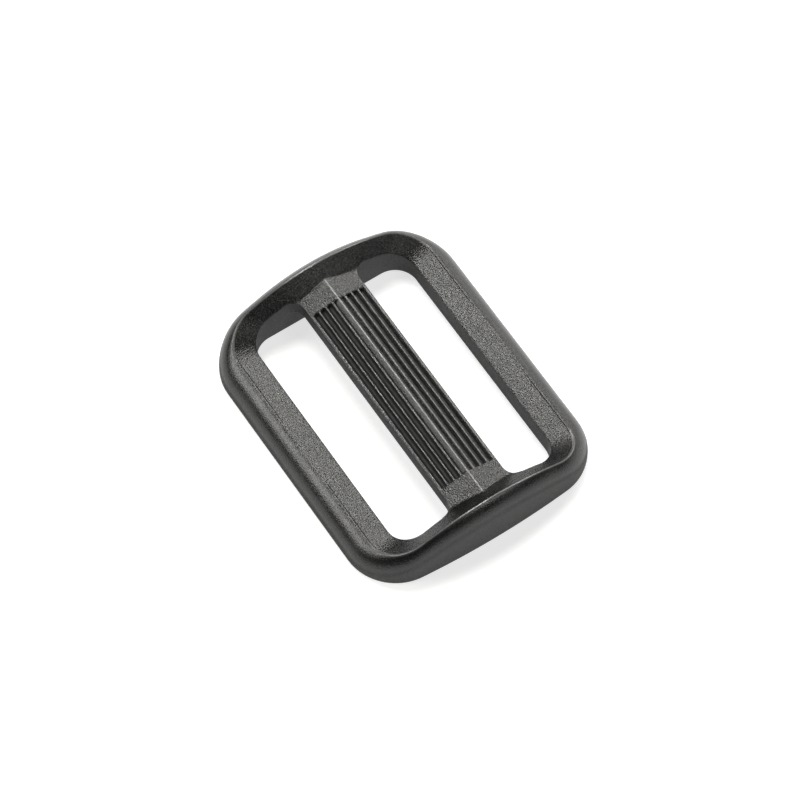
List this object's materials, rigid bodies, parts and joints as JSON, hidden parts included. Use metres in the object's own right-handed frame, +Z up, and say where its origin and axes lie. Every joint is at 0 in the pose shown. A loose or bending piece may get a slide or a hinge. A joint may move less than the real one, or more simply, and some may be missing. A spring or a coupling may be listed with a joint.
{
  "type": "webbing buckle slider",
  "caption": "Plastic tri-glide slider: a rounded frame with arched ends, slots and a ribbed bar that adjusts the length of a 25 mm strap.",
  "frame": {"origin": "middle of the flat underside, on the surface that the slider lies on", "axes": "+X along the slots, the direction of the strap's width; +Y the way the strap runs; +Z up"},
  "size_m": [0.0318, 0.0256, 0.0062],
  "materials": {
    "moulded_plastic": "black acetal with a fine spark-eroded grain, smoother on the outer faces"
  },
  "bodies": {
    "root": {"rail_left": "moulded_plastic", "rail_right": "moulded_plastic", "end_bar_front": "moulded_plastic", "end_bar_rear": "moulded_plastic", "centre_bar": "moulded_plastic"}
  },
  "joints": []
}
